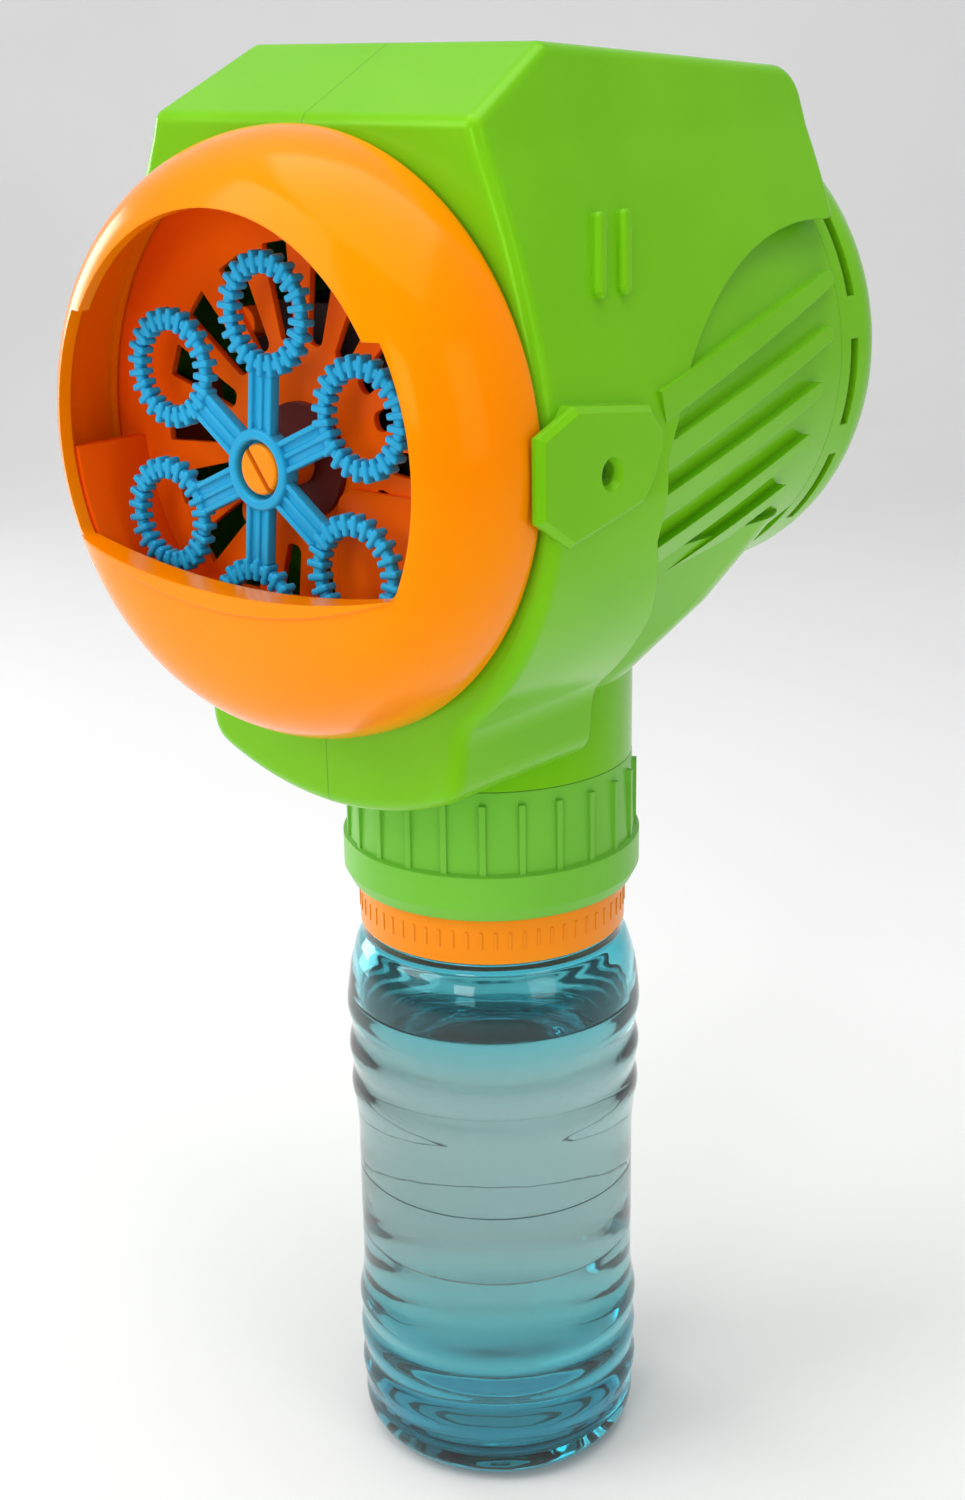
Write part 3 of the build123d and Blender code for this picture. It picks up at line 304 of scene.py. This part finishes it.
def lathe(bm, profile, segments=128, shape=None):
    """Turns a profile of (radius, z) about Z. shape(radius, z, angle) may give each point another radius."""
    rows = []
    for radius, z in profile:
        if radius < 1e-6:
            rows.append([bm.verts.new((0, 0, z))])
            continue
        row = []
        for number in range(segments):
            angle = 2 * math.pi * number / segments
            r = shape(radius, z, angle) if shape else radius
            row.append(bm.verts.new((r * math.cos(angle), r * math.sin(angle), z)))
        rows.append(row)
    for lower, upper in zip(rows, rows[1:]):
        for number in range(segments):
            after = (number + 1) % segments
            if len(lower) == 1:
                bm.faces.new((lower[0], upper[number], upper[after]))
            elif len(upper) == 1:
                bm.faces.new((lower[number], lower[after], upper[0]))
            else:
                bm.faces.new((lower[number], lower[after], upper[after], upper[number]))
    return rows


def soft_box(bm, low, high, radius, steps=2, where=Matrix.Identity(4)):
    """Adds a box with rounded edges between two corners, placed by a matrix."""
    box = bmesh.new()
    bmesh.ops.create_cube(box, size=1.0)
    centre = (Vector(low) + Vector(high)) / 2
    span = Vector(high) - Vector(low)
    box.transform(Matrix.Translation(centre) @ Matrix.Diagonal((*span, 1)))
    bmesh.ops.bevel(box, geom=box.edges[:], offset=radius, segments=steps, affect="EDGES", profile=0.5)
    add_copy(bm, box, where)
    box.free()


def add_copy(bm, source, where):
    """Adds a moved copy of one bmesh to another."""
    mesh = bpy.data.meshes.new("copy")
    source.to_mesh(mesh)
    mesh.transform(where)
    bm.from_mesh(mesh)
    bpy.data.meshes.remove(mesh)


def catmull_rom(a, b, c, d, t):
    """The curve's value from b (t = 0) to c (t = 1)."""
    square = 2 * a - 5 * b + 4 * c - d
    cube = 3 * b - a - 3 * c + d
    return 0.5 * (2 * b + (c - a) * t + square * t * t + cube * t ** 3)


def smooth_line(points, steps=6):
    """Catmull-Rom curve through (radius, z) points."""
    padded = [points[0], *points, points[-1]]
    line = []
    for four in zip(padded, padded[1:], padded[2:], padded[3:]):
        for step in range(steps):
            line.append(tuple(catmull_rom(*values, step / steps) for values in zip(*four)))
    line.append(points[-1])
    return line


# The wheel is made in millimetres about its own axis: z is forwards, x is across and y is up.
WHEEL_TURN = -5.4         # degrees that the first loop stands away from straight up
LOOPS = 6
LOOP_CIRCLE_R = 24.3
HUB_R = 6.5
HUB_BORE_R = 4.7
HUB_BACK = -1.85
HUB_FRONT = 1.4
WEB_BORE_R = 2.95
WEB_FRONT = -1.05
RING_R = (6.95, 8.8)
RING_HALF = 0.9
FINS = 24
FIN_R = (6.1, 9.6)
FIN_THICK = 1.12
FIN_HALF = 1.3
SPOKE_END = LOOP_CIRCLE_R - 7.5
SPOKE_HALF = 2.3
RAIL_OFFSET = 2.1
RAIL_THICK = 0.94
RAIL_HALF = 0.98
spindle_low, spindle_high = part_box("wheel_spindle")
wheel_low, wheel_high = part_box("wand_wheel")
WHEEL_Z = (spindle_low[2] + spindle_high[2]) / 2 / MM
WHEEL_DEPTH = -wheel_low[1] / MM - HUB_FRONT
forward = Matrix.Translation((0, 0, WHEEL_Z)) @ Matrix.Rotation(math.radians(90), 4, "X")


def ring_section(bm, inner, outer, back_z, front_z, radius, segments=96):
    """A ring whose section is a rounded rectangle."""
    corners = [(outer - radius, back_z + radius, -90), (outer - radius, front_z - radius, 0),
               (inner + radius, front_z - radius, 90), (inner + radius, back_z + radius, 180)]
    section = []
    for r, z, start in corners:
        for step in range(5):
            a = math.radians(start + 22.5 * step)
            section.append((r + radius * math.cos(a), z + radius * math.sin(a)))
    rows = lathe(bm, section, segments)
    last, first = rows[-1], rows[0]
    for number in range(segments):
        after = (number + 1) % segments
        bm.faces.new((last[number], last[after], first[after], first[number]))


def wand_wheel():
    """The wheel as moulded: hub and web, six spokes with rails and a ridge, six loops with fins."""
    bm = bmesh.new()
    ring_section(bm, HUB_BORE_R, HUB_R, HUB_BACK, HUB_FRONT, 0.55)
    ring_section(bm, WEB_BORE_R, HUB_BORE_R + 0.3, HUB_BACK + 0.05, WEB_FRONT, 0.1)
    loop = bmesh.new()
    ring_section(loop, *RING_R, -RING_HALF, RING_HALF, 0.6, 72)
    for number in range(FINS):
        turn = Matrix.Rotation(2 * math.pi * number / FINS, 4, "Z")
        low = (FIN_R[0], -FIN_THICK / 2, -FIN_HALF)
        high = (FIN_R[1], FIN_THICK / 2, FIN_HALF)
        soft_box(loop, low, high, 0.36, 3, turn)
    spoke = bmesh.new()
    soft_box(spoke, (HUB_R - 0.8, -SPOKE_HALF, -0.6), (SPOKE_END, SPOKE_HALF, 0.35), 0.15)
    for side in (-RAIL_OFFSET, RAIL_OFFSET):
        low = (HUB_R - 0.9, side - RAIL_THICK / 2, -RAIL_HALF)
        high = (SPOKE_END, side + RAIL_THICK / 2, RAIL_HALF)
        soft_box(spoke, low, high, 0.26, 3)
    soft_box(spoke, (HUB_R - 0.7, -0.42, -0.7), (SPOKE_END - 0.8, 0.42, 0.8), 0.24, 3)
    for number in range(LOOPS):
        turn = Matrix.Rotation(math.radians(90 + WHEEL_TURN + 60 * number), 4, "Z")
        add_copy(bm, loop, turn @ Matrix.Translation((LOOP_CIRCLE_R, 0, 0)))
        add_copy(bm, spoke, turn)
    loop.free()
    spoke.free()
    bm.transform(forward @ Matrix.Translation((0, 0, WHEEL_DEPTH)))
    new_piece("wand_wheel_moulded", bm, blue, "wheel", "wand_wheel")


wand_wheel()

# The bottle's side from above the foot to below the neck, as (radius, height). It is blown, so uneven()
# makes its ribs and wall vary a little on the way round.
OUTER = [
    (27.0, 6.0), (26.95, 9.8), (27.6, 13.5), (27.0, 17.3), (27.6, 21.0), (27.0, 24.8), (27.6, 28.5),
    (27.0, 32.1), (26.6, 36.0), (26.6, 44.0), (26.45, 44.8), (26.6, 45.6), (26.6, 57.6), (26.4, 58.4),
    (26.6, 59.2), (26.6, 66.0), (27.1, 71.5), (27.7, 75.5), (27.1, 79.5), (27.9, 83.5), (27.1, 87.5),
    (27.95, 91.5), (27.6, 96.0), (26.9, 100.5), (25.6, 105.0), (24.4, 107.0), (24.4, 108.8),
]


def uneven(radius, z, angle):
    """Draws the blown wall in by up to a few tenths, in the two ribbed bands."""
    band = math.exp(-((z - 83) / 11) ** 2) + 0.7 * math.exp(-((z - 20) / 9) ** 2)
    wave = math.sin(3 * angle + 0.21 * z) + 0.6 * math.sin(5 * angle - 0.37 * z + 1.0)
    fade = min(1.0, radius / 26)
    return radius - fade * (0.10 + 0.10 * wave) * band


def bottle_wall():
    """The bottle's outside, mouth and inside as one turned skin."""
    bm = bmesh.new()
    foot = [(0, 3.0), (8, 2.7), (15.0, 1.7), (17.8, 0.5), (19.0, 0.05), (20.5, 0.0), (22.3, 0.15),
            (24.6, 1.3), (26.3, 3.3)]
    neck = [(24.2, 109.0), (20.4, 109.1), (20.0, 109.8), (20.0, 125.2), (19.6, 125.8), (19.2, 125.8),
            (18.8, 125.2)]
    inside = [(18.8, 110.0), (19.4, 108.6), (22.8, 105.6), (25.0, 101.5), (25.9, 96.0), (26.0, 88.0),
              (25.7, 60.0), (25.7, 40.0), (25.8, 12.0), (25.2, 7.6), (23.0, 5.0), (19.5, 4.0), (12.0, 4.6),
              (0, 5.0)]
    profile = smooth_line(foot + OUTER) + smooth_line(neck, 3) + smooth_line(inside, 5)
    lathe(bm, profile, 144, uneven)
    new_piece("bottle_blown", bm, bottle_clear, "reservoir", "bottle")


def liquid():
    """The solution, whose surface climbs the wall a little."""
    bm = bmesh.new()
    side = [(0, 4.9), (12.0, 4.5), (19.6, 3.9), (23.1, 4.9), (25.3, 7.5), (25.9, 12.0), (25.8, 40.0),
            (25.8, 60.0), (26.1, 88.0), (26.05, 94.6)]
    surface = [(25.6, 94.0), (24.6, 93.9), (0, 93.9)]
    lathe(bm, smooth_line(side, 4) + surface, 144)
    new_piece("bubble_solution_fill", bm, solution, "reservoir", "bubble_solution")


bottle_wall()
liquid()

# ------------------------------------------------------------------ room
FLOOR_HALF = 3.0
FLOOR_BACK = 0.9
COVE_R = 0.5
COVE_STEPS = 12
WALL_TOP = 2.5


def studio():
    """A pale floor that curves up into a wall behind the object."""
    mesh = bpy.data.meshes.new("floor")
    bm = bmesh.new()
    rows = [(-FLOOR_HALF, 0.0), (FLOOR_BACK, 0.0)]
    for step in range(1, COVE_STEPS + 1):
        a = math.pi / 2 * step / COVE_STEPS
        rows.append((FLOOR_BACK + COVE_R * math.sin(a), COVE_R - COVE_R * math.cos(a)))
    rows.append((FLOOR_BACK + COVE_R, WALL_TOP))
    turn = Matrix.Rotation(YAW, 4, "Z")
    previous = None
    for y, z in rows:
        pair = [bm.verts.new(turn @ Vector((x, y, z))) for x in (-FLOOR_HALF, FLOOR_HALF)]
        if previous:
            bm.faces.new((previous[0], previous[1], pair[1], pair[0]))
        previous = pair
    for face in bm.faces:
        face.smooth = True
    bm.to_mesh(mesh)
    bm.free()
    floor = bpy.data.objects.new("floor", mesh)
    bpy.context.scene.collection.objects.link(floor)
    mat, tree, shader = material("floor_paint")
    tint = ramp(tree, noise(tree, 6, 2).outputs["Fac"], (0.90, 0.90, 0.90), (0.92, 0.92, 0.92))
    tree.links.new(tint.outputs["Color"], shader.inputs["Base Color"])
    shader.inputs["Roughness"].default_value = 0.7
    mesh.materials.append(mat)


def area_light(name, where, target, size, power):
    """A rectangular soft light that faces a target."""
    data = bpy.data.lights.new(name, "AREA")
    data.shape = "RECTANGLE"
    data.size, data.size_y = size
    data.energy = power
    light = bpy.data.objects.new(name, data)
    bpy.context.scene.collection.objects.link(light)
    light.location = where
    light.rotation_euler = (Vector(target) - Vector(where)).to_track_quat("-Z", "Y").to_euler()


studio()
middle = (0, 0, 0.16)
area_light("key_left", (-0.45, -0.75, 0.75), middle, (0.6, 0.6), 4.2)
area_light("top", (0.05, -0.1, 1.0), middle, (0.9, 0.9), 5.5)
area_light("fill_right", (0.9, -0.15, 0.45), middle, (0.35, 0.6), 1.2)
area_light("front_right", (0.30, -0.95, 0.40), middle, (0.3, 0.3), 1.6)
area_light("side_left", (-0.95, -0.05, 0.22), (0, 0, 0.08), (0.3, 0.5), 2.5)
world = bpy.data.worlds.new("world")
world.use_nodes = True
world.node_tree.nodes["Background"].inputs["Color"].default_value = (1, 1, 1, 1)
world.node_tree.nodes["Background"].inputs["Strength"].default_value = 0.42
bpy.context.scene.world = world
bpy.context.scene.view_settings.view_transform = "Standard"
